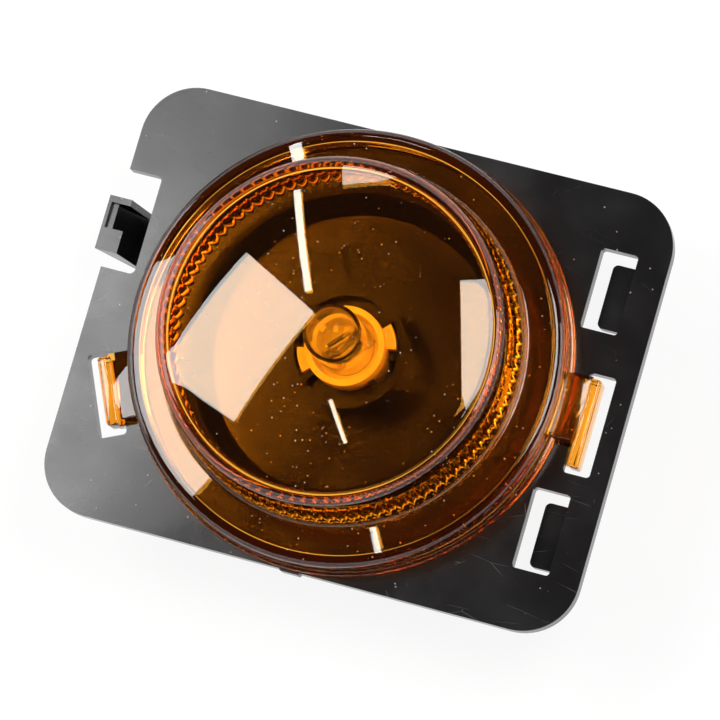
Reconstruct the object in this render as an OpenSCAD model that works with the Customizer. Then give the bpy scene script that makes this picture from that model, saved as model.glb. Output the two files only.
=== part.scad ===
// Side repeater lamp: a stepped round amber lens with a fluted drum, clipped to a moulded carrier
// plate that hooks and snaps into a body panel. A wedge-base bulb sits in a holder that is put in
// from behind and locked by a part turn.
// Z = 0 is the plate's rear face, which lies on the panel. The lens axis is the Z axis.
// +X points to the two hooks, -X to the spring latch.

/* [Lens] */
// Outside diameter of the lens flange
lens_d = 80.2; // [76:0.2:88]
// Thickness of the flange
flange_t = 1.3; // [1:0.1:1.8]
// How far the flange stands out past the skirt
flange_step = 0.7; // [0.5:0.1:1.5]
// Wall thickness of the lens
lens_wall = 2.2; // [1.8:0.1:2.6]
// Height of the shoulder above the plate
shoulder_h = 7.6; // [6.8:0.2:8.4]
// Radius of the rounded shoulder
shoulder_round = 1.9; // [1.2:0.1:2.2]
// Width of the sloping terrace between shoulder and drum
terrace_w = 7; // [6:0.1:8]
// Rise of the terrace
terrace_rise = 1.3; // [1:0.1:2.2]
// Height of the drum's rim above the plate
rim_h = 23.4; // [22:0.1:25]
// Draft of the drum's wall, in degrees
drum_draft = 6.5; // [4:0.5:8]
// Radius of the rounded rim
rim_round = 3; // [2.4:0.1:3.6]
// Rise of the crowned front over the rim
crown_rise = 4; // [3.2:0.1:5]

/* [Flutes] */
// Number of flutes round the drum
flute_count = 90; // [72:2:96]
// How far a flute stands in from the wall
flute_depth = 0.7; // [0.4:0.05:0.8]
// Distance from the terrace up to where the flutes begin
flute_foot = 1.2; // [0.8:0.1:2]
// Distance from the flutes' round tops to the inside of the crown
flute_head = 2.2; // [1.8:0.1:3]

/* [Lens clips] */
// Thickness of the wide clip's leg
wide_clip_t = 2.1; // [1.7:0.1:2.5]
// Thickness of the narrow clip's leg
narrow_clip_t = 2.4; // [1.7:0.1:2.6]
// Distance from the flange to a clip's leg
clip_reach = 2.9; // [2.4:0.1:3.4]
// Height of a clip's tab above the plate
clip_top = 2.3; // [1.9:0.1:2.8]
// How far a clip's leg reaches behind the plate
clip_tail = 3.2; // [2.6:0.1:4]
// How far a clip's barb reaches in from its leg
barb = 1.7; // [1.4:0.1:1.9]
// Length of the wide clip's leg
wide_clip_len = 16.1; // [14:0.1:17]
// Length of the wide clip's tab
wide_tab_len = 11.3; // [9:0.1:12]
// Length of the narrow clip's leg and tab
narrow_clip_len = 12.6; // [11:0.1:14]
// Direction of the narrow clip from the lens axis, in degrees
narrow_clip_dir = 204.8; // [202:0.2:209]

/* [Plate] */
// Thickness of the plate
plate_t = 3; // [2.6:0.1:3.6]
// Plate left outside the flange at the latch's end
latch_end = 8.9; // [8.5:0.1:12]
// Plate left outside the flange at the hooks' end
hook_end = 10.6; // [10.2:0.1:14]
// Plate left outside the flange along its sides
side_edge = 0.1; // [0.1:0.1:4]
// Width of the small moulded step on the plate's lower edge
edge_step_w = 3.6; // [2:0.2:6]
// Radius of the plate's corners
corner_r = 10; // [6:0.5:12]
// Depth of the groove for the lens seal
groove_depth = 1.9; // [1.6:0.1:2.1]

/* [Bowl and collar] */
// Radius of the bowl at the plate's face
bowl_r = 29; // [26:0.5:30]
// Depth of the bowl below the plate's face
bowl_depth = 5; // [4:0.2:7]
// Wall thickness of the bowl
bowl_wall = 2.2; // [1.8:0.1:2.8]
// Slope of the bowl's side, as its narrowing down to the floor
bowl_taper = 3; // [1:0.5:4]
// Height of the collar's rim above the plate's face
collar_h = 5; // [4.4:0.1:5.6]
// Wall thickness of the collar
collar_wall = 1.4; // [1.2:0.1:2]
// How far the collar reaches behind the plate's rear face
collar_back = 9; // [8:0.2:12]
// Depth of the pocket in which the holder's lugs turn
lug_pocket = 2.5; // [2.4:0.1:3]
// Thickness of the ledge that the lugs lock over
ledge_t = 2.5; // [2:0.1:3.5]

/* [Hooks] */
// Length of a hook's slot, across the plate
hook_slot_len = 14.7; // [13.5:0.1:16]
// Width of a hook's slot
hook_slot_w = 6.8; // [6:0.1:7]
// Distance of a hook's slot from the plate's end
hook_inset = 5.7; // [5:0.1:6.2]
// Distance of each hook from the lens axis, across the plate
hook_y = 22.1; // [21.6:0.1:23.6]
// Width of a hook's foot
hook_w = 11.8; // [10:0.1:12.6]
// Gap between the plate and a hook's foot
hook_gap = 2.5; // [2.2:0.1:3.4]
// Thickness of a hook's foot and leg
hook_t = 2.2; // [1.8:0.1:2.6]
// Reach of a hook's foot across its slot
hook_reach = 4.9; // [4:0.1:5.4]

/* [Latch] */
// Depth of the notch round the latch
notch_depth = 6.3; // [5.8:0.1:7]
// Length of the notch
notch_len = 18.5; // [17:0.5:20]
// Middle of the notch, across the plate
notch_y = 13.35; // [12.5:0.05:14.5]
// Width of the latch
latch_w = 10.2; // [9:0.1:11.5]
// Thickness of the latch's spring strip
strip_t = 1.4; // [1.2:0.1:1.8]
// Length of the latch behind the plate's rear face
latch_drop = 19.8; // [17:0.2:22]
// How far the latch's head stands out past the plate's end
head_out = 3.7; // [3:0.1:4.4]
// Thickness of the latch's head at its top
head_t = 4.2; // [3.6:0.1:4.8]
// Gap between the latch's strip and its wedge-shaped arm, at the bend
bend_gap = 3.8; // [3.2:0.1:4.6]
// Width of the groove down the arm's inner face
latch_groove = 4.8; // [4:0.1:5.4]
// Narrowing of the latch with depth, on each side, in degrees
latch_taper = 0.4; // [0:0.1:2]

/* [Bulb and holder] */
// Radius of the bulb's glass
bulb_r = 5.1; // [4.9:0.05:5.2]
// Length of the bulb, tip to base
bulb_len = 26.6; // [25:0.1:26.8]
// Depth of the bulb's flat wedge base
wedge_h = 6.4; // [5.6:0.1:7]
// Width of the wedge base
wedge_w = 9.4; // [9:0.1:9.6]
// Thickness of the wedge base
wedge_t = 2.4; // [2.1:0.1:2.6]
// Wall thickness of the glass
glass_t = 0.6; // [0.5:0.05:0.8]
// Outer radius of the holder's barrel
barrel_r = 7.15; // [7:0.05:7.4]
// Wall thickness of the barrel at its mouth
mouth_wall = 1.1; // [0.9:0.1:1.2]
// Height of the barrel's mouth above the plate's face
barrel_h = 7; // [6.4:0.1:7.6]
// How far the locking lugs stand out from the barrel
lug_out = 1.7; // [1.4:0.1:1.8]
// Angle over which a locking lug spreads, in degrees
lug_spread = 30; // [24:1:34]
// Direction of the first locking lug when locked, in degrees
lug_dir = 28; // [15:1:45]
// Turn from locked to free, in degrees
lock_turn = 45; // [40:1:60]
// Thickness of the holder's flange
cap_t = 2.4; // [2:0.1:3]
// Length of the plug shroud behind the flange
shroud_len = 14; // [12:0.5:18]
// Inside width of the plug shroud
shroud_w = 13; // [12:0.2:14.6]
// Inside depth of the plug shroud
shroud_d = 7.6; // [7:0.2:9]
// Wall thickness of the plug shroud
shroud_wall = 1.3; // [1.1:0.1:1.6]
// Distance between the two contact blades
blade_pitch = 6.4; // [6:0.1:7]
// Width of a contact blade
blade_w = 2.8; // [2.4:0.1:3]
// Thickness of the contacts' sheet metal
sheet_t = 0.6; // [0.5:0.05:0.8]

/* [Fits] */
// Gap under the lens flange
lens_seat = 0.2; // [0.1:0.05:0.4]
// Side clearance of the seal and the lens tongue in their groove
groove_fit = 0.2; // [0.1:0.05:0.3]
// Radial running clearance of the barrel in the ledge
barrel_fit = 0.08; // [0.03:0.01:0.1]
// Clearance over and under the locking lugs
lug_fit = 0.2; // [0.1:0.05:0.3]
// Clearance round the bulb, its base and the contacts
slip_fit = 0.15; // [0.1:0.05:0.3]
// Squeezed thickness of the holder's seal ring
ring_t = 1.4; // [1:0.1:2]

/* [Hidden] */
$fn = 96;
lens_steps = 180;                             // facets round the lens
eps = 0.01;
past = 1;                                     // how far a cut runs past the solid it cuts
arc_steps = 7;                                // facets in a profile's rounded corner
crown_steps = 9;                              // facets in the crown's profile

flange_r = lens_d / 2;
face_z = plate_t;                             // the plate's front face
plate_x0 = -flange_r - latch_end;
plate_x1 = flange_r + hook_end;
plate_y = flange_r + side_edge;
edge_step_out = 0.4;

// Lens profile
skirt_r = flange_r - flange_step;
tongue_in = skirt_r - lens_wall;
tongue_t = 1.2;
tongue_out = tongue_in + tongue_t;
flange_z = face_z + lens_seat;
shoulder_z = face_z + shoulder_h;
drum_foot_r = skirt_r - terrace_w;
terrace_z = shoulder_z + terrace_rise;
rim_z = face_z + rim_h;
rim_r = drum_foot_r - (rim_z - terrace_z) * tan(drum_draft);
foot_round = 0.9;

// Seal groove
groove_in = tongue_in - groove_fit;
groove_out = tongue_out + groove_fit;
groove_z = face_z - groove_depth;
seal_t = 0.8;
tongue_z = groove_z + seal_t;

// Collar and holder
ledge_hole = barrel_r + barrel_fit;
gate_fit = 0.25;                              // clearance outside a lug on its way in
pocket_r = barrel_r + lug_out + 0.55;
collar_r = pocket_r + collar_wall;
collar_z = face_z + collar_h;
ledge_z = collar_z - lug_pocket;
floor_z = face_z - bowl_depth;
collar_end = -collar_back;
cap_z = collar_end - ring_t;                  // front of the holder's flange
cap_r = collar_r + 1.6;                       // the holder's flange covers the collar's end
mouth_z = face_z + barrel_h;
lug_z = ledge_z + lug_fit;
lug_h = lug_pocket - 2 * lug_fit;
cap_end = cap_z - cap_t;
shroud_end = cap_end - shroud_len;
stop_gap = 1.5;                               // degrees left between a lug and its stop
stop_spread = 9;

// Bulb
tip_z = rim_z + crown_rise - lens_wall - 1.9;
base_z = tip_z - bulb_len;
wedge_top = base_z + wedge_h;
neck_z = wedge_top + 2.2;                     // the round glass starts here, above its neck
wedge_dir = 47;                               // direction of the wedge's width
lead_x = 2.6;
lead_r = 0.22;
filament_z = tip_z - 11.2;                    // the filament's height under the bulb's tip
filament_r = 0.42;
seat_z = base_z - slip_fit;                   // floor of the wedge's slot

// A polygon's points with each corner [x, y, radius] rounded by an arc
function unit(v) = v / norm(v);
function corner_arc(a, p, b, r) =
    let (u = unit([a.x - p.x, a.y - p.y]), w = unit([b.x - p.x, b.y - p.y]),
         half = acos(max(-1, min(1, u * w))) / 2,
         mid = unit(u + w),
         c = [p.x, p.y] + mid * r / sin(half),
         t0 = [p.x, p.y] + u * r / tan(half) - c,
         t1 = [p.x, p.y] + w * r / tan(half) - c,
         a0 = atan2(t0.y, t0.x),
         turn = atan2(t0.x * t1.y - t0.y * t1.x, t0 * t1))
    [for (i = [0:arc_steps]) c + r * [cos(a0 + turn * i / arc_steps), sin(a0 + turn * i / arc_steps)]];
function rounded(pts) =
    let (n = len(pts))
    [for (i = [0:n - 1])
        each (pts[i][2] > 0
            ? corner_arc(pts[(i + n - 1) % n], pts[i], pts[(i + 1) % n], pts[i][2])
            : [[pts[i].x, pts[i].y]])];

// The lens's outer skin from skirt to crown, or a skin that lies deeper by d inside it
function skin(d) =
    let (slope = atan(terrace_rise / terrace_w),
         wall_d = d / cos(drum_draft),
         top = rim_z + crown_rise - d,
         edge_r = rim_r - wall_d + d * tan(drum_draft),
         edge_z = rim_z - d,
         ball = (edge_r * edge_r + crown_rise * crown_rise) / (2 * crown_rise),
         foot_z = terrace_z - d / cos(slope),
         foot_r = drum_foot_r - wall_d + (d / cos(slope)) * tan(drum_draft))
    concat(
        [[skirt_r - d, shoulder_z - d / cos(slope), max(shoulder_round - d, 0.5)],
         [foot_r, foot_z, foot_round + d / 3],
         [edge_r, edge_z, max(rim_round - d, 0.8)]],
        [for (i = [1:crown_steps])
            let (r = edge_r * (1 - i / crown_steps))
            [r, top - ball + sqrt(ball * ball - r * r), 0]]);

// A flat outline with round corners, made of exact squares and circles
module round_rect(w, h, r) {
    square([w - 2 * r, h], center = true);
    square([w, h - 2 * r], center = true);
    for (x = [-1, 1])
        for (y = [-1, 1])
            translate([x * (w / 2 - r), y * (h / 2 - r)])
                circle(r);
}

// A round-cornered block that stands on z0, between two corners
module block(x0, x1, y0, y1, z0, z1, r) {
    translate([(x0 + x1) / 2, (y0 + y1) / 2, z0])
        linear_extrude(z1 - z0)
            round_rect(x1 - x0, y1 - y0, r);
}

module box(x0, x1, y0, y1, z0, z1) {
    translate([x0, y0, z0])
        cube([x1 - x0, y1 - y0, z1 - z0]);
}

module ring(r_in, r_out, z0, z1) {
    translate([0, 0, z0])
        difference() {
            cylinder(r = r_out, h = z1 - z0);
            translate([0, 0, -past])
                cylinder(r = r_in, h = z1 - z0 + 2 * past);
        }
}

// Lens clips and their slots, each drawn along X and turned to its place
leg_in = flange_r + clip_reach;
slot_inside = 0.7;                            // how far a clip's slot reaches inside its leg
slot_outside = 2.1;                           // and outside it
slot_r = 0.7;
recess_h = 1;                                 // recess behind the plate, in which the barb catches
barb_fit = 0.1;
barb_side = 0.4;
leg_r = 0.6;
nose_in = 0.6;                                // how much shorter than its leg a clip's nose is, at each end
nose_lip = 0.6;                               // height of the barb's straight edge

// Places along each clip's own width, from the line through the lens axis
wide_slot_gap = 2.2;                          // how much longer than its leg the slot is
wide_slot_mid = -1.85;
wide_leg_mid = -1.95;
wide_tab_mid = 0.2;
wide_flanks = [1.1, 0.8];                     // how far the tab widens at its foot, at each end
narrow_slot_gap = 2.8;
narrow_slot_mid = -0.8;
narrow_leg_mid = -1.1;
narrow_tab_mid = -1.5;
narrow_tab_short = 0.2;                       // how much the tab is shorter than its leg, at each end
narrow_flanks = [0.2, 0.9];

module clip_slot(turn, length, middle, thick) {
    y0 = middle - length / 2;
    y1 = middle + length / 2;
    out = leg_in + thick + slot_outside;
    rotate([0, 0, turn]) {
        block(leg_in - slot_inside, out, y0, y1, -past, face_z + past, slot_r);
        block(leg_in - barb - barb_side, out, y0, y1, -past, recess_h, slot_r);
    }
}

module clip_slots() {
    clip_slot(0, wide_clip_len + wide_slot_gap, wide_slot_mid, wide_clip_t);
    clip_slot(narrow_clip_dir, narrow_clip_len + narrow_slot_gap, narrow_slot_mid, narrow_clip_t);
}

// Tab over the plate: it spans from y0 to y1 and widens at its foot by the two flanks
module clip_tab(turn, y0, y1, flanks) {
    root = (tongue_out + skirt_r) / 2;        // inside the flange, clear of the tongue
    under = 3;                                // how far the tab is drawn inside the skirt, then cut
    rotate([0, 0, turn])
        difference() {
            translate([root - under, 0, 0])
                rotate([90, 0, 90])
                    linear_extrude(leg_in + eps - root + under)
                        polygon([[y0 - flanks[0], flange_z], [y1 + flanks[1], flange_z],
                                 [y1, face_z + clip_top], [y0, face_z + clip_top]]);
            translate([0, 0, flange_z - past])
                cylinder(r = root, h = clip_top + 2 * past);
        }
}

// Leg down through the slot, and a nose with a barb that catches behind the plate
module clip_leg(turn, length, middle, thick) {
    tail = -clip_tail;
    catch_z = recess_h - barb_fit;
    out = leg_in + thick;
    rotate([0, 0, turn]) {
        block(leg_in, out, middle - length / 2, middle + length / 2, 0, face_z + clip_top, leg_r);
        translate([0, middle + length / 2 - nose_in, 0])
            rotate([90, 0, 0])
                linear_extrude(length - 2 * nose_in)
                    polygon([[out - 0.15, catch_z], [leg_in - barb, catch_z],
                             [leg_in - barb, catch_z - nose_lip], [leg_in + 0.3, tail], [out - 0.9, tail]]);
    }
}

module lens_clips() {
    wide_y = wide_tab_len / 2;
    narrow_y = narrow_clip_len / 2 - narrow_tab_short;
    clip_tab(0, wide_tab_mid - wide_y, wide_tab_mid + wide_y, wide_flanks);
    clip_leg(0, wide_clip_len, wide_leg_mid, wide_clip_t);
    clip_tab(narrow_clip_dir, narrow_tab_mid - narrow_y, narrow_tab_mid + narrow_y, narrow_flanks);
    clip_leg(narrow_clip_dir, narrow_clip_len, narrow_leg_mid, narrow_clip_t);
}

// Hooks: an L behind each slot, with its foot pointing in towards the lens
slot_x1 = plate_x1 - hook_inset;
slot_x0 = slot_x1 - hook_slot_w;
hook_web = 1.2;                               // the rib behind a hook's leg, at the plate

module hook_slot(y) {
    block(slot_x0, slot_x1, y - hook_slot_len / 2, y + hook_slot_len / 2, -past, face_z + past, 0.6);
}

module hook(y) {
    y0 = y - hook_w / 2;
    y1 = y + hook_w / 2;
    block(slot_x1 - hook_reach, slot_x1 + hook_t, y0, y1, -hook_gap - hook_t, -hook_gap, 1);
    box(slot_x1, slot_x1 + hook_t, y0, y1, -hook_gap - eps, eps);
    translate([slot_x1 + hook_t - eps, y + hook_w / 2, 0])
        rotate([90, 0, 0])
            linear_extrude(hook_w)
                polygon([[0, -hook_gap], [hook_web, eps], [0, eps]]);
}

// Spring latch: a strip drops behind the plate, turns back on itself and rises as a wedge-shaped arm,
// whose sloping outer face rides over the panel's edge and whose top catches behind it
notch_x = plate_x0 + notch_depth;
latch_y = notch_y - 0.4;
head_x = plate_x0 - head_out;
head_z = -hook_gap;
bend_r = bend_gap / 2 + strip_t;
bend_x = notch_x - bend_gap / 2;
bend_z = -latch_drop + bend_r;
head_in = head_x + head_t;
groove_side = 4.2;                            // the arm's solid side beside the groove
groove_y0 = latch_y - latch_w / 2 + groove_side;
groove_y1 = groove_y0 + latch_groove;
groove_wall = 2.1;                            // wall left behind the groove, across the arm
pocket_depth = 1;
pocket_wall = 0.6;

module latch_profile() {
    translate([notch_x, bend_z])
        square([strip_t, -bend_z + eps]);
    difference() {
        translate([bend_x, bend_z])
            circle(bend_r);
        translate([bend_x, bend_z])
            circle(bend_gap / 2);
        translate([bend_x - bend_r - past, bend_z])
            square([2 * bend_r + 2 * past, bend_r + past]);
    }
    polygon([[head_in, head_z], [head_x, head_z],
             [bend_x - bend_r, bend_z], [bend_x - bend_gap / 2, bend_z]]);
}

module latch() {
    half = latch_w / 2;
    root = half + (past - head_z) * tan(latch_taper);
    foot = half - (latch_drop + past + head_z) * tan(latch_taper);
    difference() {
        intersection() {
            translate([0, latch_y + half + past, 0])
                rotate([90, 0, 0])
                    linear_extrude(latch_w + 2 * past)
                        latch_profile();
            translate([head_x - past, latch_y, 0])
                rotate([90, 0, 90])
                    linear_extrude(notch_x + strip_t - head_x + 2 * past)
                        polygon([[-foot, -latch_drop - past], [foot, -latch_drop - past], [root, past],
                                 [-root, past]]);
        }
        // the groove fades out where its floor, which runs beside the sloping face, meets the inner face
        translate([0, groove_y1, 0])
            rotate([90, 0, 0])
                linear_extrude(latch_groove)
                    polygon([[notch_x - past, head_z + past], [head_x + groove_wall, head_z + past],
                             [head_x + groove_wall, head_z], [notch_x - bend_gap, bend_z + 2],
                             [notch_x - past, bend_z + 2]]);
        box(head_x + pocket_wall, head_x + groove_wall + eps, groove_y0, groove_y1, head_z - pocket_depth,
            head_z + past);
    }
}

module notch() {
    block(plate_x0 - 2 * past, notch_x, notch_y - notch_len / 2, notch_y + notch_len / 2,
          -past, face_z + past, 1);
}

module bowl_solid() {
    translate([0, 0, floor_z - bowl_wall])
        cylinder(r1 = bowl_r - bowl_taper + bowl_wall, r2 = bowl_r + bowl_wall,
                 h = face_z - floor_z + bowl_wall - eps);
}

module bowl_hollow() {
    rotate_extrude()
        polygon([[0, floor_z], [bowl_r - bowl_taper, floor_z], [bowl_r, face_z], [bowl_r, face_z + past],
                 [0, face_z + past]]);
}

// A rib in the lug pocket, on which a lug stops
module lug_stop(from) {
    rotate([0, 0, from])
        rotate_extrude(angle = stop_spread)
            translate([barrel_r + lug_fit, ledge_z - eps])
                square([pocket_r + collar_wall / 2 - barrel_r - lug_fit, lug_pocket - 0.4]);
}

// The way in for a locking lug, cut through the ledge
module lug_gate(dir) {
    rotate([0, 0, dir - lug_spread / 2 - 3])
        rotate_extrude(angle = lug_spread + 6)
            translate([ledge_hole - 0.5, ledge_z - ledge_t - past])
                square([barrel_r + lug_out + gate_fit - ledge_hole + 0.5, ledge_t + 2 * past]);
}

module housing() {
    color("#1c1d1f")
        difference() {
            union() {
                difference() {
                    union() {
                        block(plate_x0, plate_x1, -plate_y, plate_y, 0, face_z, corner_r);
                        block(-edge_step_w / 2, edge_step_w / 2, -plate_y - edge_step_out, -plate_y + past,
                              0, face_z, 0.3);
                        bowl_solid();
                    }
                    bowl_hollow();
                }
                translate([0, 0, collar_end])
                    cylinder(r = collar_r + 0.6, h = floor_z - collar_end);
                translate([0, 0, floor_z - eps])
                    cylinder(r = collar_r, h = collar_z - floor_z + eps);
                for (y = [-hook_y, hook_y])
                    hook(y);
                latch();
            }
            translate([0, 0, collar_end - past])
                cylinder(r = pocket_r, h = ledge_z - ledge_t - collar_end + past);
            difference() {
                translate([0, 0, ledge_z])
                    cylinder(r = pocket_r, h = lug_pocket + past);
                for (side = [0, 180]) {
                    lug_stop(lug_dir + lug_spread / 2 + stop_gap + side);
                    lug_stop(lug_dir - lock_turn - lug_spread / 2 - stop_gap - stop_spread + side);
                }
            }
            translate([0, 0, ledge_z - ledge_t - past])
                cylinder(r = ledge_hole, h = ledge_t + 2 * past);
            for (side = [0, 180])
                lug_gate(lug_dir - lock_turn + side);
            ring(groove_in, groove_out, groove_z, face_z + past);
            notch();
            for (y = [-hook_y, hook_y])
                hook_slot(y);
            clip_slots();
        }
}

// Flutes: round ribs up the inside of the drum, with ball tops under the crown
flute_base_z = terrace_z - lens_wall + flute_foot;
flute_top_z = rim_z - lens_wall - flute_head;
flute_len = (flute_top_z - flute_base_z) / cos(drum_draft);
drum_in_r = drum_foot_r - lens_wall / cos(drum_draft) - (flute_base_z - terrace_z) * tan(drum_draft);
flute_fill = 0.93;                            // share of the pitch that a flute takes
flute_r = PI * drum_in_r / flute_count * flute_fill;

module flute(i) {
    rotate([0, 0, i * 360 / flute_count])
        translate([drum_in_r + flute_r - flute_depth, 0, flute_base_z])
            rotate([0, -drum_draft, 0]) {
                cylinder(r = flute_r, h = flute_len, $fn = 24);
                translate([0, 0, flute_len])
                    sphere(flute_r, $fn = 24);
            }
}

module lens() {
    color("#d9730d")
        difference() {
            union() {
                rotate_extrude($fn = lens_steps)
                    polygon(rounded(concat(
                        [[0, tongue_z, 0], [tongue_out, tongue_z, 0], [tongue_out, flange_z, 0],
                         [flange_r, flange_z, 0], [flange_r, flange_z + flange_t, 0.4],
                         [skirt_r, flange_z + flange_t, 0.3]],
                        skin(0))));
                lens_clips();
            }
            difference() {
                rotate_extrude($fn = lens_steps)
                    polygon(rounded(concat([[0, tongue_z - past, 0], [tongue_in, tongue_z - past, 0]],
                                           skin(lens_wall))));
                for (i = [0:flute_count - 1])
                    flute(i);
            }
        }
}

module lens_seal() {
    color("#2a2a2b")
        ring(groove_in + groove_fit / 2, groove_out - groove_fit / 2, groove_z, tongue_z);
}

// Everything that turns with the bulb is drawn along X and then turned to its locked place
module locked() {
    rotate([0, 0, wedge_dir])
        children();
}

module barrel_lug(dir) {
    rotate([0, 0, dir - lug_spread / 2 - wedge_dir])
        rotate_extrude(angle = lug_spread)
            translate([barrel_r - 1, lug_z])
                square([lug_out + 1, lug_h]);
}

blade_y = 0;                                  // the blades lie in the middle of the shroud
blade_end = shroud_end + 3;                   // and end inside its mouth
spring_y = wedge_t / 2 + slip_fit + sheet_t / 2;
channel_t = sheet_t + 2 * slip_fit;

// Path of one contact: a spring beside the wedge, a cranked foot and a blade in the plug shroud
module contact_shape(grow) {
    t = sheet_t + 2 * grow;
    w = blade_w + 2 * grow;
    x = blade_pitch / 2;
    foot_z = cap_end + 2;
    box(x - w / 2, x + w / 2, spring_y - t / 2, spring_y + t / 2, foot_z, wedge_top - 1);
    box(x - w / 2, x + w / 2, blade_y - t / 2, spring_y + t / 2, foot_z - grow, foot_z + sheet_t + grow);
    box(x - w / 2, x + w / 2, blade_y - t / 2, blade_y + t / 2, blade_end, foot_z + eps);
}

module contact_front() {
    color("#c9a24a")
        locked()
            contact_shape(0);
}

module contact_rear() {
    color("#c9a24a")
        locked()
            rotate([0, 0, 180])
                contact_shape(0);
}

wing_r = 0.97 * cap_r;                        // the grip wings end just inside the flange
wing_t = 1.8;
wing_h = 6;
nib_w = 4;
nib_len = 4;
nib_out = 1.1;

module bulb_holder() {
    well_r = bulb_r + slip_fit + 0.5;
    color("#e9e2cf")
        locked()
            difference() {
                union() {
                    translate([0, 0, cap_end])
                        cylinder(r = barrel_r, h = mouth_z - cap_end);
                    translate([0, 0, cap_end])
                        cylinder(r = cap_r, h = cap_t);
                    barrel_lug(lug_dir);
                    barrel_lug(lug_dir + 180);
                    block(-shroud_w / 2 - shroud_wall, shroud_w / 2 + shroud_wall,
                          -shroud_d / 2 - shroud_wall, shroud_d / 2 + shroud_wall,
                          shroud_end, cap_end + eps, 1.6);
                    // grip wings and the plug's locking nib
                    for (turn = [0, 180])
                        rotate([0, 0, turn])
                            box(shroud_w / 2, wing_r, -wing_t / 2, wing_t / 2,
                                cap_end - wing_h, cap_end + eps);
                    translate([nib_w / 2, shroud_d / 2 + shroud_wall - eps, blade_end])
                        rotate([90, 0, -90])
                            linear_extrude(nib_w)
                                polygon([[0, 0], [0, nib_len], [-nib_out, 0.85 * nib_len]]);
                }
                // mouth, bulb well and the slot for the wedge
                translate([0, 0, neck_z - 0.6])
                    cylinder(r1 = well_r, r2 = barrel_r - mouth_wall, h = mouth_z - neck_z + 0.6 + eps);
                translate([0, 0, mouth_z])
                    cylinder(r = barrel_r - mouth_wall, h = past);
                translate([0, 0, wedge_top - 0.5])
                    cylinder(r = well_r, h = neck_z - wedge_top);
                box(-wedge_w / 2 - slip_fit, wedge_w / 2 + slip_fit, -wedge_t / 2 - slip_fit,
                    wedge_t / 2 + slip_fit, seat_z, wedge_top);
                // plug cavity and the contacts' channels
                block(-shroud_w / 2, shroud_w / 2, -shroud_d / 2, shroud_d / 2,
                      shroud_end - past, cap_end - 2, 0.9);
                for (turn = [0, 180])
                    rotate([0, 0, turn]) {
                        contact_shape(slip_fit / 3);
                        box((blade_pitch - blade_w) / 2 - slip_fit / 3,
                            (blade_pitch + blade_w) / 2 + slip_fit / 3,
                            wedge_t / 2, spring_y + sheet_t / 2 + slip_fit / 3, seat_z, wedge_top);
                    }
            }
}

module holder_seal() {
    color("#2a2a2b")
        ring(barrel_r + 0.1, collar_r + 0.4, cap_z, collar_end - 0.1);
}

// Bulb: round glass with a domed tip, drawn in to a neck and pinched flat at its base
module bulb_outer(d) {
    rotate_extrude()
        intersection() {
            union() {
                translate([0, tip_z - bulb_r])
                    circle(bulb_r - d);
                translate([0, neck_z])
                    square([bulb_r - d, tip_z - bulb_r - neck_z]);
                polygon([[0, wedge_top + d], [wedge_t / 2 + 0.4 - d / 2, wedge_top + d],
                         [bulb_r - d, neck_z], [0, neck_z]]);
            }
            translate([0, base_z])
                square([2 * bulb_r, bulb_len]);
        }
}

module lead_path(grow) {
    r = lead_r + grow;
    translate([lead_x, 0, base_z + 1])
        cylinder(r = r, h = filament_z - base_z - 1 + lead_r, $fn = 16);
}

module bulb_glass() {
    color("#dfe6e6", 0.4)
        locked()
            difference() {
                union() {
                    difference() {
                        bulb_outer(0);
                        bulb_outer(glass_t);
                    }
                    block(-wedge_w / 2, wedge_w / 2, -wedge_t / 2, wedge_t / 2,
                          base_z, wedge_top + 0.8, 0.8);
                }
                for (turn = [0, 180])
                    rotate([0, 0, turn])
                        lead_path(0.03);
            }
}

module lead_front() {
    color("#b9b9b4")
        locked()
            lead_path(0);
}

module lead_rear() {
    color("#b9b9b4")
        locked()
            rotate([0, 0, 180])
                lead_path(0);
}

module filament() {
    span = 2 * (lead_x - lead_r) - 0.1;
    color("#8d8d8a")
        locked()
            translate([-span / 2, 0, filament_z])
                rotate([0, 90, 0])
                    cylinder(r = filament_r, h = span, $fn = 24);
}

housing();
lens();
lens_seal();
bulb_holder();
holder_seal();
contact_front();
contact_rear();
bulb_glass();
lead_front();
lead_rear();
filament();
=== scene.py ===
import math

import bmesh
import bpy
from mathutils import Matrix, Vector


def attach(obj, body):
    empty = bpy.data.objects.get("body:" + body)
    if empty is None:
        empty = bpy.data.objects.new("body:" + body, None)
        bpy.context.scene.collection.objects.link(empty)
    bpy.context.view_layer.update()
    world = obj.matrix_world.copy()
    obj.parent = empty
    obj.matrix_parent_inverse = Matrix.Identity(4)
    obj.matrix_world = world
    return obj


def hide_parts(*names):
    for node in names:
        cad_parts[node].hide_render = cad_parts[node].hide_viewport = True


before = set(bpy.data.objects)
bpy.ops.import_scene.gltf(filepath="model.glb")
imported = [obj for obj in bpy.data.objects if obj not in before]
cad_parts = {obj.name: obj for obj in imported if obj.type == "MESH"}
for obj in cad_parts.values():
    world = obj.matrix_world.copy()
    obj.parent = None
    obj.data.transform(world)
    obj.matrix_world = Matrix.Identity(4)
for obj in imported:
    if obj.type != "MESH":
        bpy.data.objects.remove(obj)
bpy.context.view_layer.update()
mm = 0.001
bodyLamp = "lamp_body"


# sRGB hex to linear
def colour(hexText):
    channels = [int(hexText[i:i + 2], 16) / 255 for i in (1, 3, 5)]
    linear = [c / 12.92 if c <= 0.04045 else ((c + 0.055) / 1.055) ** 2.4 for c in channels]
    return (*linear, 1.0)


# Adds a node: links sets its sockets or joins them to others, the settings are the node's own
def addNode(tree, kind, links=None, **settings):
    node = tree.nodes.new(kind)
    for name, value in settings.items():
        setattr(node, name, value)
    for name, value in (links or {}).items():
        socket = node.inputs[name]
        if isinstance(value, bpy.types.NodeSocket):
            tree.links.new(value, socket)
        else:
            socket.default_value = value
    return node


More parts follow.
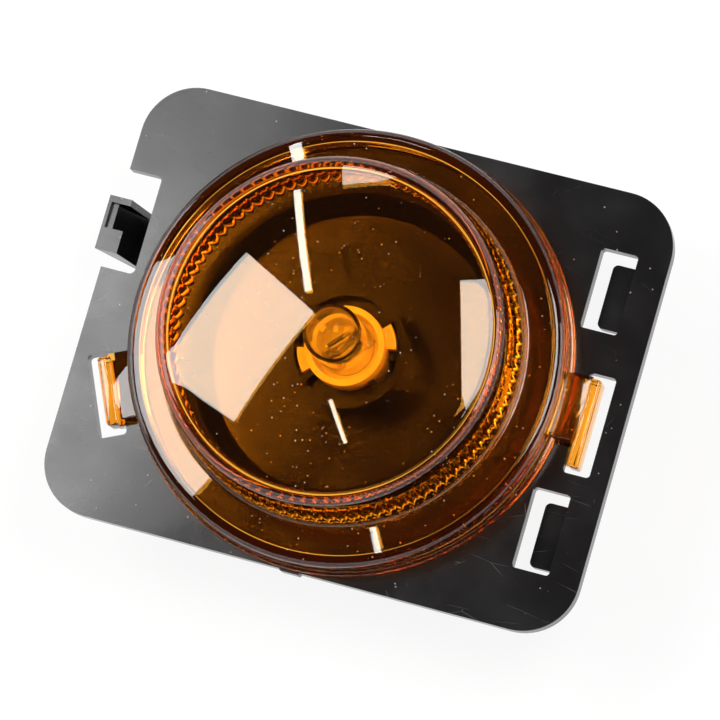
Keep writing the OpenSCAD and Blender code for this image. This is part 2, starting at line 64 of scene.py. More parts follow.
def newMaterial(name):
    material = bpy.data.materials.new(name)
    material.use_nodes = True
    tree = material.node_tree
    tree.nodes.clear()
    return material, tree


def paint(piece, material):
    if not piece.data.materials:
        piece.data.materials.append(material)
    for i in range(len(piece.data.materials)):
        piece.data.materials[i] = material


def addObject(name, mesh):
    piece = bpy.data.objects.new(name, mesh)
    bpy.context.scene.collection.objects.link(piece)
    return piece


def meshFrom(name, verts, faces):
    mesh = bpy.data.meshes.new(name)
    mesh.from_pydata(verts, [], faces)
    mesh.update()
    return mesh


def bakeModifiers(piece):
    depsgraph = bpy.context.evaluated_depsgraph_get()
    mesh = bpy.data.meshes.new_from_object(piece.evaluated_get(depsgraph))
    piece.modifiers.clear()
    old = piece.data
    piece.data = mesh
    bpy.data.meshes.remove(old)
    return piece


def mergedCopy(node, name):
    bm = bmesh.new()
    bm.from_mesh(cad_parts[node].data)
    bmesh.ops.remove_doubles(bm, verts=bm.verts, dist=0.002 * mm)
    bmesh.ops.dissolve_degenerate(bm, edges=bm.edges, dist=0.001 * mm)
    mesh = bpy.data.meshes.new(name)
    bm.to_mesh(mesh)
    bm.free()
    return addObject(name, mesh)


# Camera at the photograph's viewpoint, which was solved from the plate's corners
camera = {
    "place": (0.20656, -0.12476, 0.88570),
    "turn": (11.1293, 10.3862, 16.2993),
    "lens": 257.8,
    "sensor": 36,
}


def makeCamera():
    data = bpy.data.cameras.new("camera")
    data.lens = camera["lens"]
    data.sensor_width = camera["sensor"]
    data.clip_start = 0.01
    data.clip_end = 20
    view = bpy.data.objects.new("camera", data)
    view.location = camera["place"]
    view.rotation_euler = [math.radians(a) for a in camera["turn"]]
    bpy.context.scene.collection.objects.link(view)
    bpy.context.scene.camera = view


makeCamera()
print("camera set")

# Lens, in millimetres: the CAD lens's sizes, with the slopes and ribs that the reflections ask for
lens = {
    "flangeR": 40.1,
    "flangeStep": 0.7,
    "flangeT": 1.3,
    "wall": 2.2,
    "plateT": 3.0,
    "seat": 0.2,
    "shoulderH": 7.9,
    "shoulderRound": 1.9,
    "terraceW": 7.0,
    "terraceRise": 1.0,
    "rimH": 23.4,
    "draft": 6.5,
    "rimRound": 3.0,
    "rimRoundIn": 1.2,
    "crownRise": 4.0,
    "footRound": 0.9,
    "tongueT": 1.2,
    "grooveDepth": 1.9,
    "sealT": 0.8,
    "arcSteps": 14,
    "crownSteps": 16,
    "straight": 2.2,        # parts longer than this get a row near each end, for even shading
    "hold": 0.12,           # how near
}
flutes = {
    "count": 90,
    "depth": 0.85,
    "stretch": 1.35,        # depth of a rib against a round one's
    "foot": 1.2,
    "head": 2.2,
    "fill": 0.93,           # share of the pitch that a rib takes
    "columns": 10,          # faces across a rib
    "plainColumns": 4,      # and where there are no ribs
    "ballRows": 6,
}


def cornerArc(before, corner, after, radius, steps):
    p = Vector(corner)
    u = (Vector(before) - p).normalized()
    w = (Vector(after) - p).normalized()
    half = u.angle(w) / 2
    reach = radius / math.tan(half)
    centre = p + (u + w).normalized() * radius / math.sin(half)
    first = p + u * reach - centre
    last = p + w * reach - centre
    start = math.atan2(first.y, first.x)
    turn = math.atan2(first.x * last.y - first.y * last.x, first.dot(last))
    return [(centre.x + radius * math.cos(start + turn * i / steps),
             centre.y + radius * math.sin(start + turn * i / steps)) for i in range(steps + 1)]


# Rounds the corners (x, y, radius) of an open line, the small ones in fewer steps
def rounded(points, steps):
    line = []
    for i, (x, y, radius) in enumerate(points):
        if radius > 0 and 0 < i < len(points) - 1:
            fine = max(2, round(steps * math.sqrt(radius / 3)))
            line += cornerArc(points[i - 1][:2], (x, y), points[i + 1][:2], radius, fine)
        else:
            line.append((x, y))
    return line


def lensSizes():
    s = dict(lens)
    s["skirtR"] = s["flangeR"] - s["flangeStep"]
    s["tongueIn"] = s["skirtR"] - s["wall"]
    s["tongueOut"] = s["tongueIn"] + s["tongueT"]
    s["flangeZ"] = s["plateT"] + s["seat"]
    s["shoulderZ"] = s["plateT"] + s["shoulderH"]
    s["drumFootR"] = s["skirtR"] - s["terraceW"]
    s["terraceZ"] = s["shoulderZ"] + s["terraceRise"]
    s["rimZ"] = s["plateT"] + s["rimH"]
    s["tan"] = math.tan(math.radians(s["draft"]))
    s["rimR"] = s["drumFootR"] - (s["rimZ"] - s["terraceZ"]) * s["tan"]
    s["tongueZ"] = s["plateT"] - s["grooveDepth"] + s["sealT"]
    return s


sizes = lensSizes()


# Adds points near the ends of a line's long straight parts
def held(line):
    points = [line[0]]
    for (x0, y0), (x1, y1) in zip(line, line[1:]):
        length = math.hypot(x1 - x0, y1 - y0)
        if length > lens["straight"]:
            for t in (lens["hold"] / length, 1 - lens["hold"] / length):
                points.append((x0 + (x1 - x0) * t, y0 + (y1 - y0) * t))
        points.append((x1, y1))
    return points


# Outer skin from skirt to crown, or the inner one, deeper by the wall
def lensSkin(deep):
    s = sizes
    slope = math.atan(s["terraceRise"] / s["terraceW"])
    wallDeep = deep / math.cos(math.radians(s["draft"]))
    ball = (s["rimR"] ** 2 + s["crownRise"] ** 2) / (2 * s["crownRise"])
    centreZ = s["rimZ"] + s["crownRise"] - ball

    def crownZ(r):
        return centreZ + math.sqrt((ball - deep) ** 2 - r ** 2)

    edgeR = s["rimR"] - wallDeep
    edgeR += (s["rimZ"] - crownZ(edgeR)) * s["tan"]
    drop = deep / math.cos(slope)
    footR = s["drumFootR"] - wallDeep + drop * s["tan"]
    points = [(s["skirtR"] - deep, s["shoulderZ"] - drop, max(s["shoulderRound"] - deep, 0.5)),
              (footR, s["terraceZ"] - drop, s["footRound"] + deep / 3),
              (edgeR, crownZ(edgeR), s["rimRoundIn"] if deep else s["rimRound"])]
    for i in range(1, s["crownSteps"] + 1):
        r = edgeR * (1 - i / s["crownSteps"])
        points.append((r, crownZ(r), 0))
    return points


# How far a rib stands in from the drum's inner wall, at a distance along the wall's girth and a height
def ribDepth(girth, z, rib):
    over = max(0, z - rib["top"])
    inside = rib["r"] ** 2 - girth ** 2 - over ** 2
    return max(0, math.sqrt(max(0, inside)) - (rib["r"] - flutes["depth"])) * flutes["stretch"]


# One closed sector of the lens with one rib, from half a pitch before it to half a pitch after it
def lensSector():
    s = sizes
    pitch = 2 * math.pi / flutes["count"]
    topZ = s["flangeZ"] + s["flangeT"]
    flange = [(s["tongueOut"], s["tongueZ"], 0), (s["tongueOut"], s["flangeZ"], 0.15),
              (s["flangeR"], s["flangeZ"], 0.15), (s["flangeR"], topZ, 0.4), (s["skirtR"], topZ, 0.3)]
    outer = held(rounded(flange + lensSkin(0), s["arcSteps"]))
    inner = held(rounded([(s["tongueIn"], s["tongueZ"], 0)] + lensSkin(s["wall"]), s["arcSteps"]))
    baseZ = s["terraceZ"] - s["wall"] + flutes["foot"]
    wallDeep = s["wall"] / math.cos(math.radians(s["draft"]))
    drumIn = s["drumFootR"] - wallDeep - (baseZ - s["terraceZ"]) * s["tan"]
    rib = {"top": s["rimZ"] - s["wall"] - flutes["head"],
           "r": math.pi * drumIn / flutes["count"] * flutes["fill"]}

    # rows for the ribs: foot, wall and ball top
    steps = flutes["ballRows"]
    heights = [baseZ - 0.02, baseZ, (baseZ + rib["top"]) / 2, rib["top"]]
    heights += [rib["top"] + rib["r"] * math.sin(math.pi / 2 * k / steps) for k in range(1, steps + 1)]
    rows = []
    for (r, z), (r1, z1) in zip(inner, inner[1:] + [inner[-1]]):
        rows.append((r, z))
        if z1 - z > 3 and z < baseZ:
            rows += [(r + (r1 - r) * (h - z) / (z1 - z), h) for h in heights if z < h < z1]

    # columns: even round the rib's half circle, so that it looks round
    side = math.acos(1 - flutes["depth"] / rib["r"])
    half = flutes["columns"] // 2
    ribAngles = [rib["r"] * math.sin(side * k / half) / drumIn for k in range(-half, half + 1)]
    innerAngles = [-pitch / 2] + ribAngles + [pitch / 2]
    plainAngles = [pitch * (k / flutes["plainColumns"] - 0.5) for k in range(flutes["plainColumns"] + 1)]

    verts, faces = [], []

    def addRow(r, z, angles, ribbed):
        start = len(verts)
        if r < 1e-6:
            verts.append((0, 0, z))
            return [start]
        for angle in angles:
            depth = ribDepth(angle * drumIn, z, rib) if ribbed and z >= baseZ and r > rib["r"] else 0
            verts.append(((r - depth) * math.cos(angle), (r - depth) * math.sin(angle), z))
        return list(range(start, start + len(angles)))

    # where the columns change in number, one face joins the two rows
    def stitch(low, high, flip):
        if 1 < len(low) != len(high) > 1:
            faces.append(high + low[::-1] if flip else low + high[::-1])
            return
        for j in range(len(low) - 1):
            top = high if len(high) == 1 else [high[j + 1], high[j]]
            face = [low[j], low[j + 1]] + top
            faces.append(face[::-1] if flip else face)

    outerRows = [addRow(r, z, plainAngles, False) for r, z in outer]
    innerRows = []
    for r, z in rows:
        ribbed = baseZ - 0.03 < z <= rib["top"] + rib["r"] + 0.01
        innerRows.append(addRow(r, z, innerAngles if ribbed else plainAngles, ribbed))
    for low, high in zip(outerRows, outerRows[1:]):
        stitch(low, high, False)
    for low, high in zip(innerRows, innerRows[1:]):
        stitch(low, high, True)
    faces.append(innerRows[0] + outerRows[0][::-1])
    return meshFrom("lens_sector", [(x * mm, y * mm, z * mm) for x, y, z in verts], faces)


# Geometry Nodes turn one sector, with its rib, into the whole ring
def sectorTree(material):
    tree = bpy.data.node_groups.new("ribs_round_the_drum", "GeometryNodeTree")
    tree.interface.new_socket("Sector", in_out="INPUT", socket_type="NodeSocketGeometry")
    tree.interface.new_socket("Ribs", in_out="INPUT", socket_type="NodeSocketInt")
    tree.interface.new_socket("Weld", in_out="INPUT", socket_type="NodeSocketFloat")
    tree.interface.new_socket("Ring", in_out="OUTPUT", socket_type="NodeSocketGeometry")
    given = tree.nodes.new("NodeGroupInput")
    points = addNode(tree, "GeometryNodePoints", {"Count": given.outputs["Ribs"]})
    index = addNode(tree, "GeometryNodeInputIndex")
    share = addNode(tree, "ShaderNodeMath", {
        0: index.outputs[0], 1: given.outputs["Ribs"]}, operation="DIVIDE")
    turn = addNode(tree, "ShaderNodeMath", {0: share.outputs[0], 1: 2 * math.pi}, operation="MULTIPLY")
    axis = addNode(tree, "ShaderNodeCombineXYZ", {"Z": turn.outputs[0]})
    rotation = addNode(tree, "FunctionNodeEulerToRotation", {0: axis.outputs[0]})
    ring = addNode(tree, "GeometryNodeInstanceOnPoints", {
        "Points": points.outputs[0], "Instance": given.outputs["Sector"], "Rotation": rotation.outputs[0]})
    real = addNode(tree, "GeometryNodeRealizeInstances", {0: ring.outputs[0]})
    weld = addNode(tree, "GeometryNodeMergeByDistance", {
        "Geometry": real.outputs[0], "Distance": given.outputs["Weld"]})
    smooth = addNode(tree, "GeometryNodeSetShadeSmooth", {0: weld.outputs[0]})
    dressed = addNode(tree, "GeometryNodeSetMaterial", {
        "Geometry": smooth.outputs[0], "Material": material})
    out = tree.nodes.new("NodeGroupOutput")
    tree.links.new(dressed.outputs[0], out.inputs["Ring"])
    return tree


def setInputs(modifier, tree, values):
    for item in tree.interface.items_tree:
        if item.in_out == "INPUT" and item.name in values:
            modifier[item.identifier] = values[item.name]


# Amber PMMA, injection moulded and polished: clear, deeper in colour where it is thicker
amber = {
    "depth": 1050,                  # absorption per metre where no light gets through
    "tint": (0.998, 0.950, 0.800),  # share of the light that each channel keeps
    "skin": (0.985, 0.58, 0.14),    # what one wall lets through besides
    "through": 0.96,                # what is left at a surface after its reflection
    "roughness": 0.015,
    "ior": 1.49,
    "rippleScale": 60,              # waves per metre: a slight swell some 17 mm long
    "rippleStrength": 0.01,
    "dust": "#E6D6BC",
    "dustScale": 620,               # cells per metre, with one speck of about 0.2 mm in each
    "dustSize": (0.080, 0.050),     # of a cell, from bare to dusty
    "driftScale": 70,
    "drift": (0.42, 0.54),
}


def makeAmber():
    material, tree = newMaterial("moulded_amber_pmma")
    place = addNode(tree, "ShaderNodeTexCoord").outputs["Object"]
    waves = addNode(tree, "ShaderNodeTexNoise", {
        "Vector": place, "Scale": amber["rippleScale"], "Detail": 1})
    ripple = addNode(tree, "ShaderNodeBump", {
        "Height": waves.outputs[0], "Strength": amber["rippleStrength"], "Distance": 0.0002})
    glass = addNode(tree, "ShaderNodeBsdfPrincipled", {
        "Base Color": (*amber["skin"], 1), "Roughness": amber["roughness"], "IOR": amber["ior"],
        "Transmission Weight": 1, "Normal": ripple.outputs[0]})
    # dust: specks that lie in drifts
    cells = addNode(tree, "ShaderNodeTexVoronoi", {"Vector": place, "Scale": amber["dustScale"]})
    speck = addNode(tree, "ShaderNodeMapRange", {
        "Value": cells.outputs["Distance"], "From Min": amber["dustSize"][0],
        "From Max": amber["dustSize"][1], "To Min": 0, "To Max": 0.8})
    drift = addNode(tree, "ShaderNodeTexNoise", {
        "Vector": place, "Scale": amber["driftScale"], "Detail": 2})
    thick = addNode(tree, "ShaderNodeMapRange", {
        "Value": drift.outputs[0], "From Min": amber["drift"][0], "From Max": amber["drift"][1],
        "To Min": 0, "To Max": 1})
    dust = addNode(tree, "ShaderNodeMath", {0: speck.outputs[0], 1: thick.outputs[0]}, operation="MULTIPLY")
    powder = addNode(tree, "ShaderNodeBsdfDiffuse", {"Color": colour(amber["dust"])})
    dusty = addNode(tree, "ShaderNodeMixShader", {
        0: dust.outputs[0], 1: glass.outputs[0], 2: powder.outputs[0]})
    # light through one surface, so that a wall's two give its skin colour
    surface = [amber["through"] * math.sqrt(c) for c in amber["skin"]]
    clear = addNode(tree, "ShaderNodeBsdfTransparent", {"Color": (*surface, 1)})
    path = addNode(tree, "ShaderNodeLightPath")
    mix = addNode(tree, "ShaderNodeMixShader", {
        0: path.outputs["Is Shadow Ray"], 1: dusty.outputs[0], 2: clear.outputs[0]})
    soak = addNode(tree, "ShaderNodeVolumeAbsorption", {
        "Color": (*amber["tint"], 1), "Density": amber["depth"]})
    addNode(tree, "ShaderNodeOutputMaterial", {"Surface": mix.outputs[0], "Volume": soak.outputs[0]})
    return material


amberPmma = makeAmber()


def makeLens():
    piece = addObject("lens_moulding", lensSector())
    tree = sectorTree(amberPmma)
    modifier = piece.modifiers.new("ribs", "NODES")
    modifier.node_group = tree
    setInputs(modifier, tree, {"Ribs": flutes["count"], "Weld": 0.004 * mm})
    bakeModifiers(piece)
    return piece


lensPiece = makeLens()
print("lens faces", len(lensPiece.data.polygons))

# Lens clips: tab, leg and barbed nose, each drawn along X and turned to its place, in millimetres
clips = {
    "reach": 2.9,
    "top": 2.3,
    "tail": 3.2,
    "barb": 1.7,
    "catchZ": 0.9,
    "noseIn": 0.6,
    "wide": {"turn": 0, "t": 2.1, "leg": (-10.0, 6.1), "tab": (-5.45, 5.85), "flanks": (1.1, 0.8)},
    "narrow": {"turn": 204.8, "t": 2.4, "leg": (-7.4, 5.2), "tab": (-7.6, 4.6), "flanks": (0.2, 0.9)},
}


def prism(bm, outline, move):
    low = [bm.verts.new(move(x, y, 0)) for x, y in outline]
    high = [bm.verts.new(move(x, y, 1)) for x, y in outline]
    bm.faces.new(low[::-1])
    bm.faces.new(high)
    for i in range(len(outline)):
        j = (i + 1) % len(outline)
        bm.faces.new((low[i], low[j], high[j], high[i]))


def clipPiece(name, clip, part):
    s = sizes
    legIn = s["flangeR"] + clips["reach"]
    out = legIn + clip["t"]
    bm = bmesh.new()
    if part == "tab":
        root = (s["tongueOut"] + s["skirtR"]) / 2
        y0, y1 = clip["tab"]
        foot0, foot1 = clip["flanks"]
        outline = [(y0 - foot0, s["flangeZ"] + 0.01), (y1 + foot1, s["flangeZ"] + 0.01),
                   (y1, s["plateT"] + clips["top"]), (y0, s["plateT"] + clips["top"])]
        # the root follows the flange's own round
        prism(bm, outline, lambda y, z, end: (
            (math.sqrt(root ** 2 - y ** 2) if end == 0 else legIn + 0.3) * mm, y * mm, z * mm))
    elif part == "leg":
        y0, y1 = clip["leg"]
        outline = [(legIn, y0), (out, y0), (out, y1), (legIn, y1)]
        top = s["plateT"] + clips["top"]
        prism(bm, outline, lambda x, y, end: (x * mm, y * mm, (top if end else 0.02) * mm))
    else:
        y0, y1 = clip["leg"][0] + clips["noseIn"], clip["leg"][1] - clips["noseIn"]
        outline = [(out - 0.15, clips["catchZ"]), (legIn - clips["barb"], clips["catchZ"]),
                   (legIn - clips["barb"], clips["catchZ"] - 0.6), (legIn + 0.3, -clips["tail"]),
                   (out - 0.9, -clips["tail"])]
        prism(bm, outline, lambda x, z, end: (x * mm, (y1 if end else y0) * mm, z * mm))
    bmesh.ops.recalc_face_normals(bm, faces=bm.faces)
    bm.transform(Matrix.Rotation(math.radians(clip["turn"]), 4, "Z"))
    mesh = bpy.data.meshes.new(name)
    bm.to_mesh(mesh)
    bm.free()
    piece = addObject(name, mesh)
    bevel = piece.modifiers.new("edge", "BEVEL")
    bevel.width = (0.6 if part == "leg" else 0.15) * mm
    bevel.segments = 4 if part == "leg" else 2
    bevel.limit_method = "NONE" if part == "nose" else "ANGLE"
    return bakeModifiers(piece)


def union(piece, others):
    for other in others:
        modifier = piece.modifiers.new("join", "BOOLEAN")
        modifier.operation = "UNION"
        modifier.solver = "MANIFOLD"
        modifier.object = other
    bakeModifiers(piece)
    for other in others:
        mesh = other.data
        bpy.data.objects.remove(other)
        bpy.data.meshes.remove(mesh)


clipParts = [clipPiece(f"{clip}_{part}", clips[clip], part)
             for clip in ("wide", "narrow") for part in ("tab", "leg", "nose")]
union(lensPiece, clipParts)
paint(lensPiece, amberPmma)
for polygon in lensPiece.data.polygons:
    polygon.use_smooth = True
lensPiece.data.set_sharp_from_angle(angle=math.radians(32))
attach(lensPiece, bodyLamp)
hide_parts("lens")
print("lens and clips joined", len(lensPiece.data.polygons))

# Carrier: black ABS, injection moulded; a satin skin with fine scratches and dust
carrier = {
    "base": "#141415",
    "scuffed": "#4A4B4D",
    "dust": "#A9A7A2",
    "roughness": 0.17,
    "ior": 1.46,
    "edge": 0.22,           # bevel, in millimetres
    # turn, and cells per metre
    "scratches": ((0.35, (40, 150, 40)), (1.25, (35, 130, 35)), (2.2, (45, 170, 45))),
    "scratchWidth": (0.004, 0.0015),    # of a cell, from bare to scratched
    "bend": 0.006,
    "lensEdge": (0.040, 0.041),         # only the plate outside the lens is scratched
    "worn": (0.005, -0.025),            # heights on the plate, from hardly worn to fully worn
    "dustScale": 330,
    "dustSize": (0.055, 0.035),
}


def makeCarrierPlastic():
    material, tree = newMaterial("moulded_black_abs")
    place = addNode(tree, "ShaderNodeTexCoord").outputs["Object"]
    cloud = addNode(tree, "ShaderNodeTexNoise", {"Vector": place, "Scale": 90, "Detail": 3})
    grain = addNode(tree, "ShaderNodeTexNoise", {"Vector": place, "Scale": 2600, "Detail": 2})
    # scratches: thin edges of long cells, bent a little and broken up by a noise
    bend = addNode(tree, "ShaderNodeTexNoise", {"Vector": place, "Scale": 45, "Detail": 1})
    bent = addNode(tree, "ShaderNodeVectorMath", {
        0: bend.outputs["Color"], 1: [carrier["bend"]] * 3, 2: place}, operation="MULTIPLY_ADD")
    lines = []
    for turn, stretch in carrier["scratches"]:
        mapped = addNode(tree, "ShaderNodeMapping", {
            "Vector": bent.outputs[0], "Rotation": (0, 0, turn), "Scale": stretch})
        cell = addNode(tree, "ShaderNodeTexVoronoi", {
            "Vector": mapped.outputs[0], "Scale": 1}, feature="DISTANCE_TO_EDGE")
        gap = addNode(tree, "ShaderNodeTexNoise", {"Vector": mapped.outputs[0], "Scale": 2.3, "Detail": 2})
        line = addNode(tree, "ShaderNodeMapRange", {
            "Value": cell.outputs[0], "From Min": carrier["scratchWidth"][0],
            "From Max": carrier["scratchWidth"][1], "To Min": 0, "To Max": 1})
        kept = addNode(tree, "ShaderNodeMapRange", {
            "Value": gap.outputs[0], "From Min": 0.56, "From Max": 0.62, "To Min": 0, "To Max": 0.8})
        broken = addNode(tree, "ShaderNodeMath", {
            0: line.outputs[0], 1: kept.outputs[0]}, operation="MULTIPLY")
        lines.append(broken.outputs[0])
    scratch = addNode(tree, "ShaderNodeMath", {0: lines[0], 1: lines[1]}, operation="MAXIMUM")
    scratch = addNode(tree, "ShaderNodeMath", {0: scratch.outputs[0], 1: lines[2]}, operation="MAXIMUM")
    # worn below and outside the lens only
    height = addNode(tree, "ShaderNodeSeparateXYZ", {0: place})
    flat = addNode(tree, "ShaderNodeVectorMath", {0: place, 1: (1, 1, 0)}, operation="MULTIPLY")
    away = addNode(tree, "ShaderNodeVectorMath", {0: flat.outputs[0]}, operation="LENGTH")
    outside = addNode(tree, "ShaderNodeMapRange", {
        "Value": away.outputs["Value"], "From Min": carrier["lensEdge"][0],
        "From Max": carrier["lensEdge"][1], "To Min": 0, "To Max": 1})
    low = addNode(tree, "ShaderNodeMapRange", {
        "Value": height.outputs["Y"], "From Min": carrier["worn"][0], "From Max": carrier["worn"][1],
        "To Min": 0.15, "To Max": 1})
    worn = addNode(tree, "ShaderNodeMath", {
        0: outside.outputs[0], 1: low.outputs[0]}, operation="MULTIPLY")
    scratch = addNode(tree, "ShaderNodeMath", {
        0: scratch.outputs[0], 1: worn.outputs[0]}, operation="MULTIPLY")
    specks = addNode(tree, "ShaderNodeTexVoronoi", {"Vector": place, "Scale": carrier["dustScale"]})
    dust = addNode(tree, "ShaderNodeMapRange", {
        "Value": specks.outputs["Distance"], "From Min": carrier["dustSize"][0],
        "From Max": carrier["dustSize"][1], "To Min": 0, "To Max": 0.7})
    scuffed = addNode(tree, "ShaderNodeMix", {
        "Factor": scratch.outputs[0], "A": colour(carrier["base"]), "B": colour(carrier["scuffed"])},
        data_type="RGBA")
    dusty = addNode(tree, "ShaderNodeMix", {
        "Factor": dust.outputs[0], "A": scuffed.outputs["Result"], "B": colour(carrier["dust"])},
        data_type="RGBA")
    gloss = addNode(tree, "ShaderNodeMapRange", {
        "Value": cloud.outputs[0], "From Min": 0.3, "From Max": 0.7,
        "To Min": carrier["roughness"] - 0.04, "To Max": carrier["roughness"] + 0.06})
    bump = addNode(tree, "ShaderNodeBump", {
        "Height": grain.outputs[0], "Strength": 0.06, "Distance": 0.0001})
    shader = addNode(tree, "ShaderNodeBsdfPrincipled", {
        "Base Color": dusty.outputs["Result"], "Roughness": gloss.outputs[0], "IOR": carrier["ior"],
        "Normal": bump.outputs[0]})
    addNode(tree, "ShaderNodeOutputMaterial", {"Surface": shader.outputs[0]})
    return material


blackAbs = makeCarrierPlastic()


def makeCarrier():
    piece = mergedCopy("housing", "carrier_moulding")
    for polygon in piece.data.polygons:
        polygon.use_smooth = True
    bm = bmesh.new()
    bm.from_mesh(piece.data)
    bmesh.ops.dissolve_limit(bm, angle_limit=math.radians(0.4), verts=bm.verts, edges=bm.edges)
    bm.to_mesh(piece.data)
    bm.free()
    bevel = piece.modifiers.new("edge", "BEVEL")
    bevel.width = carrier["edge"] * mm
    bevel.segments = 2
    bevel.limit_method = "ANGLE"
    bevel.angle_limit = math.radians(35)
    even = piece.modifiers.new("flat_faces", "WEIGHTED_NORMAL")
    even.weight = 90
    bakeModifiers(piece)
    paint(piece, blackAbs)
    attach(piece, bodyLamp)
    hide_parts("housing")


makeCarrier()
print("carrier made")

# Holder: natural nylon, moulded, which gives a soft waxy gloss. The scale is clouds per metre
holder = {"base": "#EDE3CC", "shade": "#DDD0B4", "roughness": 0.42, "scale": 120, "bump": 0.05,
          "subsurface": 0.15}
# Seals: black EPDM rubber, moulded and matt
rubber = {"base": "#1A1A1A", "shade": "#262626", "roughness": 0.75, "scale": 400, "bump": 0.2}
# Contacts: brass sheet, stamped, with a fine satin grain
brass = {"base": "#C9A55A", "shade": "#B48F45", "roughness": 0.28, "scale": 500, "bump": 0.05,
         "metallic": 1.0}
# Leads: nickel-plated wire, drawn smooth
nickel = {"base": "#C4C2BC", "shade": "#A8A6A0", "roughness": 0.25, "scale": 900, "bump": 0.05,
          "metallic": 1.0}
# Filament: tungsten wire, wound, dull and uneven
tungsten = {"base": "#8A8A88", "shade": "#6E6E6C", "roughness": 0.4, "scale": 900, "bump": 0.1,
            "metallic": 1.0}


def makeSolid(name, finish):
    material, tree = newMaterial(name)
    roughness, scale = finish["roughness"], finish["scale"]
    place = addNode(tree, "ShaderNodeTexCoord").outputs["Object"]
    cloud = addNode(tree, "ShaderNodeTexNoise", {"Vector": place, "Scale": scale, "Detail": 4})
    fine = addNode(tree, "ShaderNodeTexNoise", {"Vector": place, "Scale": scale * 12, "Detail": 2})
    mix = addNode(tree, "ShaderNodeMix", {
        "Factor": cloud.outputs[0], "A": colour(finish["base"]), "B": colour(finish["shade"])},
        data_type="RGBA")
    gloss = addNode(tree, "ShaderNodeMapRange", {
        "Value": cloud.outputs[0], "To Min": roughness - 0.06, "To Max": roughness + 0.06})
    bump = addNode(tree, "ShaderNodeBump", {
        "Height": fine.outputs[0], "Strength": finish["bump"], "Distance": 0.0001})
    shader = addNode(tree, "ShaderNodeBsdfPrincipled", {
        "Base Color": mix.outputs["Result"], "Roughness": gloss.outputs[0],
        "Metallic": finish.get("metallic", 0.0), "Subsurface Weight": finish.get("subsurface", 0.0),
        "Subsurface Scale": 0.002, "Normal": bump.outputs[0]})
    addNode(tree, "ShaderNodeOutputMaterial", {"Surface": shader.outputs[0]})
    return material


nylon = makeSolid("moulded_natural_nylon", holder)
epdm = makeSolid("moulded_epdm_rubber", rubber)
brassSheet = makeSolid("stamped_brass", brass)
nickelWire = makeSolid("drawn_nickel_wire", nickel)
tungstenWire = makeSolid("wound_tungsten_wire", tungsten)

finishes = {"bulb_holder": nylon, "lens_seal": epdm, "holder_seal": epdm, "contact_front": brassSheet,
            "contact_rear": brassSheet, "lead_front": nickelWire, "lead_rear": nickelWire,
            "filament": tungstenWire}
for node, material in finishes.items():
    paint(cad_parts[node], material)


# Bulb: clear soda-lime glass, blown and pinched at its base
def makeBulbGlass():
    material, tree = newMaterial("blown_clear_glass")
    glass = addNode(tree, "ShaderNodeBsdfPrincipled", {
        "Base Color": colour("#F6FAFA"), "Roughness": 0.0, "IOR": 1.5, "Transmission Weight": 1})
    clear = addNode(tree, "ShaderNodeBsdfTransparent", {"Color": (0.96, 0.97, 0.97, 1)})
    path = addNode(tree, "ShaderNodeLightPath")
    mix = addNode(tree, "ShaderNodeMixShader", {
        0: path.outputs["Is Shadow Ray"], 1: glass.outputs[0], 2: clear.outputs[0]})
    addNode(tree, "ShaderNodeOutputMaterial", {"Surface": mix.outputs[0]})
    return material


clearGlass = makeBulbGlass()
paint(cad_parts["bulb_glass"], clearGlass)
print("materials set")

# Floor and backdrop: matt white card, lit as in a studio
studio = {
    "floor": "#F2F2F0",
    "floorSize": 3.0,       # metres from the middle to an edge
    "floorZ": -26.9,        # millimetres
    "seenWhite": 0.86,      # how far the floor shows as plain white; the rest keeps the shadow
    "horizon": 2.2,         # brightness of the white walls, which fade into the dark above
    "above": 0.03,
    "seenSky": 0.95,        # what the camera itself sees past the floor
    "fadeFrom": 0.02,       # heights of a direction, as its sine
    "fadeTo": 0.42,
}


def makeFloor():
    size, z = studio["floorSize"], studio["floorZ"] * mm
    corners = [(-size, -size, z), (size, -size, z), (size, size, z), (-size, size, z)]
    floor = addObject("floor", meshFrom("floor", corners, [(0, 1, 2, 3)]))
    material, tree = newMaterial("white_card")
    place = addNode(tree, "ShaderNodeTexCoord").outputs["Object"]
    tooth = addNode(tree, "ShaderNodeTexNoise", {"Vector": place, "Scale": 700, "Detail": 2})
    bump = addNode(tree, "ShaderNodeBump", {
        "Height": tooth.outputs[0], "Strength": 0.03, "Distance": 0.0001})
    matt = addNode(tree, "ShaderNodeBsdfDiffuse", {
        "Color": colour(studio["floor"]), "Normal": bump.outputs[0]})
    white = addNode(tree, "ShaderNodeEmission", {"Color": (1, 1, 1, 1), "Strength": 1})
    path = addNode(tree, "ShaderNodeLightPath")
    seen = addNode(tree, "ShaderNodeMath", {
        0: path.outputs["Is Camera Ray"], 1: path.outputs["Is Glossy Ray"]}, operation="MAXIMUM")
    seen = addNode(tree, "ShaderNodeMath", {
        0: seen.outputs[0], 1: path.outputs["Is Transmission Ray"]}, operation="MAXIMUM")
    share = addNode(tree, "ShaderNodeMath", {
        0: seen.outputs[0], 1: studio["seenWhite"]}, operation="MULTIPLY")
    mix = addNode(tree, "ShaderNodeMixShader", {
        0: share.outputs[0], 1: matt.outputs[0], 2: white.outputs[0]})
    addNode(tree, "ShaderNodeOutputMaterial", {"Surface": mix.outputs[0]})
    floor.data.materials.append(material)


makeFloor()

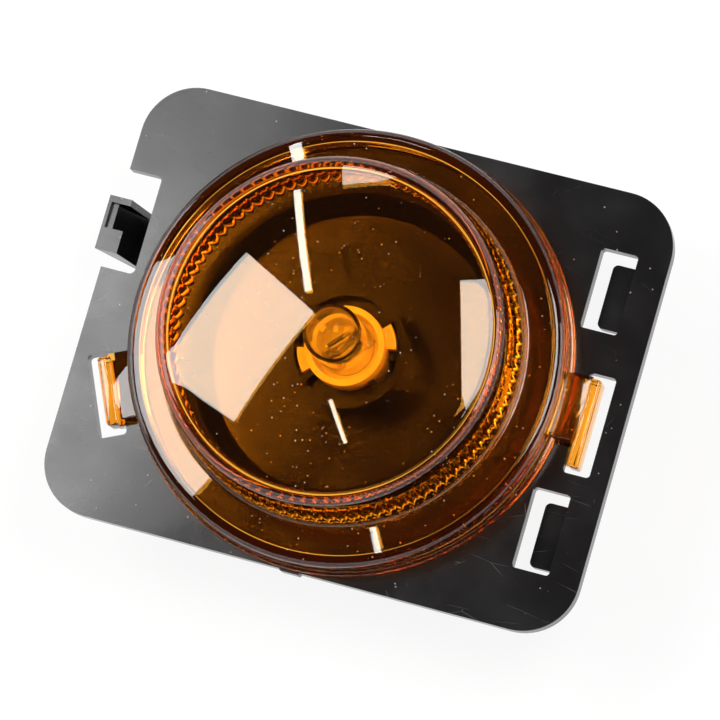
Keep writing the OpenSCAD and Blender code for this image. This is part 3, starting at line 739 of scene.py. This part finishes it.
# Soft boxes. Each lies square to a line from the lens; shift and turn are within its own plane,
# where the photograph's reflections in the crown put its corners
lamps = {
    "leftBox": {"toward": (-0.55, 0.10, 1), "distance": 0.60, "shift": (0.034, 0.012),
                "size": (0.26, 0.19), "turn": -14, "level": 11.0},
    "rightBox": {"toward": (0.22, 0.30, 1), "distance": 0.60, "shift": (-0.110, -0.027),
                 "size": (0.28, 0.20), "turn": -36, "level": 11.0},
    "backBox": {"toward": (-0.22, 0.60, 0.76), "distance": 0.60, "shift": (0, 0),
                "size": (0.10, 0.05), "turn": 0, "level": 8.0},
    "leftFill": {"toward": (-1.0, 0.05, 0.50), "distance": 0.70, "shift": (0, 0),
                 "size": (0.60, 0.30), "turn": 0, "level": 5.0},
    "rightFill": {"toward": (1.0, 0.20, 0.45), "distance": 0.70, "shift": (0, 0),
                  "size": (0.50, 0.25), "turn": 0, "level": 5.0},
    "strip": {"toward": (-0.35, 0.30, 1), "distance": 0.60, "shift": (-0.026, -0.062),
              "size": (0.21, 0.013), "turn": 67, "level": 20.0},
    "shortStrip": {"toward": (-0.35, 0.30, 1), "distance": 0.60, "shift": (0.121, 0.298),
                   "size": (0.11, 0.008), "turn": 72, "level": 18.0},
}


def makeLamps():
    for name, lamp in lamps.items():
        width, height = lamp["size"]
        data = bpy.data.lights.new(name, "AREA")
        data.shape = "RECTANGLE"
        data.size, data.size_y = width, height
        data.energy = lamp["level"] * math.pi * width * height      # so that level is its brightness
        toward = Vector(lamp["toward"]).normalized()
        across = Vector((0, 0, 1)).cross(toward).normalized()
        up = toward.cross(across)
        place = toward * lamp["distance"] + across * lamp["shift"][0] + up * lamp["shift"][1]
        axes = Matrix((across, up, toward)).transposed().to_4x4()
        light = bpy.data.objects.new(name, data)
        turn = Matrix.Rotation(math.radians(lamp["turn"]), 4, "Z")
        light.matrix_world = Matrix.Translation(place) @ axes @ turn
        bpy.context.scene.collection.objects.link(light)


makeLamps()


def makeWorld():
    world = bpy.data.worlds.new("studio")
    bpy.context.scene.world = world
    world.use_nodes = True
    tree = world.node_tree
    tree.nodes.clear()
    path = addNode(tree, "ShaderNodeLightPath")
    direction = addNode(tree, "ShaderNodeTexCoord").outputs["Object"]
    height = addNode(tree, "ShaderNodeSeparateXYZ", {0: direction})
    fade = addNode(tree, "ShaderNodeMapRange", {
        "Value": height.outputs["Z"], "From Min": studio["fadeFrom"], "From Max": studio["fadeTo"],
        "To Min": studio["horizon"], "To Max": studio["above"]}, interpolation_type="SMOOTHSTEP")
    level = addNode(tree, "ShaderNodeMix", {
        0: path.outputs["Is Camera Ray"], 2: fade.outputs[0], 3: studio["seenSky"]}, data_type="FLOAT")
    shine = addNode(tree, "ShaderNodeBackground", {"Color": (1, 1, 1, 1), "Strength": level.outputs[0]})
    addNode(tree, "ShaderNodeOutputWorld", {"Surface": shine.outputs[0]})


makeWorld()
bpy.context.scene.view_settings.view_transform = "Standard"
print("studio set")
